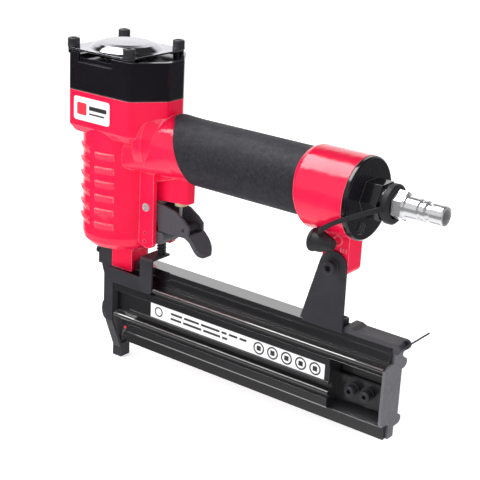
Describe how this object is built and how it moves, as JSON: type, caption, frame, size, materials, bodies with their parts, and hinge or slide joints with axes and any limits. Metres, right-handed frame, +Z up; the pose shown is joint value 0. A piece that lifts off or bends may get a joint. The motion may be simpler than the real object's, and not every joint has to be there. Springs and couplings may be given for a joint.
{
  "type": "pneumatic brad nailer",
  "caption": "Air-driven nail gun for thin brads: square-headed upright cylinder, rubber-covered handle, trigger, sprung nose contact and slide-open magazine.",
  "frame": {"origin": "on the driver's axis at the tip of the nose contact, where the tool meets the wood", "axes": "+Z up along the driver's axis away from the work, +X along the handle towards the air plug, -Y the side that carries the label and the strut"},
  "size_m": [0.2924, 0.0622, 0.243],
  "materials": {
    "red_enamel": "glossy red enamel on cast alloy",
    "gloss_black": "glossy black enamel on cast alloy",
    "dark_plate": "black nickel, nearly mirror",
    "black_steel": "black oxide",
    "satin_black": "satin black coating",
    "magazine_black": "satin black anodised extrusion",
    "end_plate_grey": "satin grey coating",
    "zinc_steel": "bright zinc",
    "bare_steel": "ground steel",
    "turned_aluminium": "turned",
    "air_plug_chrome": "nickel plated",
    "valve_brass": "plain brass",
    "black_rubber": "fine textured",
    "gasket_black": "fibre gasket",
    "black_plastic": "moulded, matte",
    "grey_guide": "dark grey moulding",
    "red_pin": "pins coated with the casting",
    "white_label": null
  },
  "bodies": {
    "casting": {"deflector_plate": "dark_plate", "cap_screws": "black_steel", "cap_washers": "black_steel", "cylinder_cap": "gloss_black", "cap_gasket": "gasket_black", "exhaust_seal": "black_rubber", "body_casting": "red_enamel", "cylinder_sleeve": "turned_aluminium", "cylinder_collar": "turned_aluminium", "sleeve_orings": "black_rubber", "bumper": "black_rubber", "head_label": "white_label", "head_valve_spring": "bare_steel", "grip_sleeve": "black_rubber", "handle_end_cap": "gloss_black", "end_cap_oring": "black_rubber", "air_plug": "air_plug_chrome", "dust_cap": "black_rubber", "support_strut": "satin_black", "strut_screw": "black_steel", "strut_foot_screw": "black_steel", "trigger_valve_body": "valve_brass", "valve_orings": "black_rubber", "valve_spring": "bare_steel", "trigger_pin": "zinc_steel", "trigger_pin_clip": "zinc_steel", "safety_guide": "grey_guide", "guide_pins": "red_pin", "safety_spring": "black_steel", "nose_guide": "satin_black", "nose_cover": "satin_black", "nose_screws": "black_steel", "nose_cover_screws": "zinc_steel", "fixed_magazine": "magazine_black", "magazine_screws": "black_steel", "latch_cover": "black_plastic", "latch_pin": "bare_steel", "latch_spring": "bare_steel"},
    "head_valve_body": {"head_valve": "turned_aluminium", "head_valve_seal": "black_rubber", "head_valve_orings": "black_rubber"},
    "piston_body": {"piston": "turned_aluminium", "piston_oring": "black_rubber", "driver_blade": "bare_steel"},
    "trigger_body": {"trigger": "black_plastic", "lever_pin": "black_steel"},
    "lever_body": {"trigger_lever": "black_steel"},
    "stem_body": {"valve_stem": "bare_steel"},
    "safety_body": {"safety_bracket": "satin_black", "safety_rod": "black_steel"},
    "slide_body": {"movable_magazine": "magazine_black", "magazine_label": "white_label", "magazine_end_plate": "end_plate_grey", "channel_block": "magazine_black", "channel_block_screws": "black_steel", "pusher_rod": "bare_steel", "pusher_spring": "bare_steel"},
    "pusher_body": {"pusher": "bare_steel"},
    "latch_body": {"latch_lever": "satin_black"}
  },
  "joints": [
    {"name": "piston_stroke", "type": "slide", "parent": "casting", "child": "piston_body", "axis": [0, 0, -1], "range_m": [0, 0.07]},
    {"name": "head_valve_lift", "type": "slide", "parent": "casting", "child": "head_valve_body", "axis": [0, 0, 1], "range_m": [0, 0.0035], "stiffness_N_per_m": 4000, "springref_m": -0.002, "deforming": ["head_valve_spring"]},
    {"name": "trigger_pull", "type": "hinge", "parent": "casting", "child": "trigger_body", "pos_m": [0.0335, 0, 0.1292], "axis": [0, -1, 0], "range_deg": [0, 12], "stiffness_Nm_per_rad": 0.6, "springref_deg": -5.73},
    {"name": "valve_stem_lift", "type": "slide", "parent": "casting", "child": "stem_body", "axis": [0, 0, 1], "range_m": [0, 0.003], "deforming": ["valve_spring"]},
    {"name": "contact_travel", "type": "slide", "parent": "casting", "child": "safety_body", "axis": [0, 0, 1], "range_m": [0, 0.005], "stiffness_N_per_m": 800, "springref_m": -0.003, "deforming": ["safety_spring"]},
    {"name": "lever_swing", "type": "hinge", "parent": "trigger_body", "child": "lever_body", "pos_m": [0.0643, 0, 0.118], "axis": [0, 1, 0], "range_deg": [0, 10.75]},
    {"name": "magazine_slide", "type": "slide", "parent": "casting", "child": "slide_body", "axis": [1, 0, 0], "range_m": [0, 0.13]},
    {"name": "pusher_slide", "type": "slide", "parent": "slide_body", "child": "pusher_body", "axis": [1, 0, 0], "range_m": [0, 0.127], "stiffness_N_per_m": 60, "springref_m": -0.06, "deforming": ["pusher_spring"]},
    {"name": "latch_swing", "type": "hinge", "parent": "casting", "child": "latch_body", "pos_m": [0.2406, 0, 0.0816], "axis": [0, -1, 0], "range_deg": [0, 30], "stiffness_Nm_per_rad": 0.1, "springref_deg": -17.19}
  ],
  "couplings": [
    {"joint": "valve_stem_lift", "follows": "trigger_pull", "m_per_rad": 0.014324},
    {"joint": "lever_swing", "follows": "contact_travel", "rad_per_m": 37.35}
  ]
}
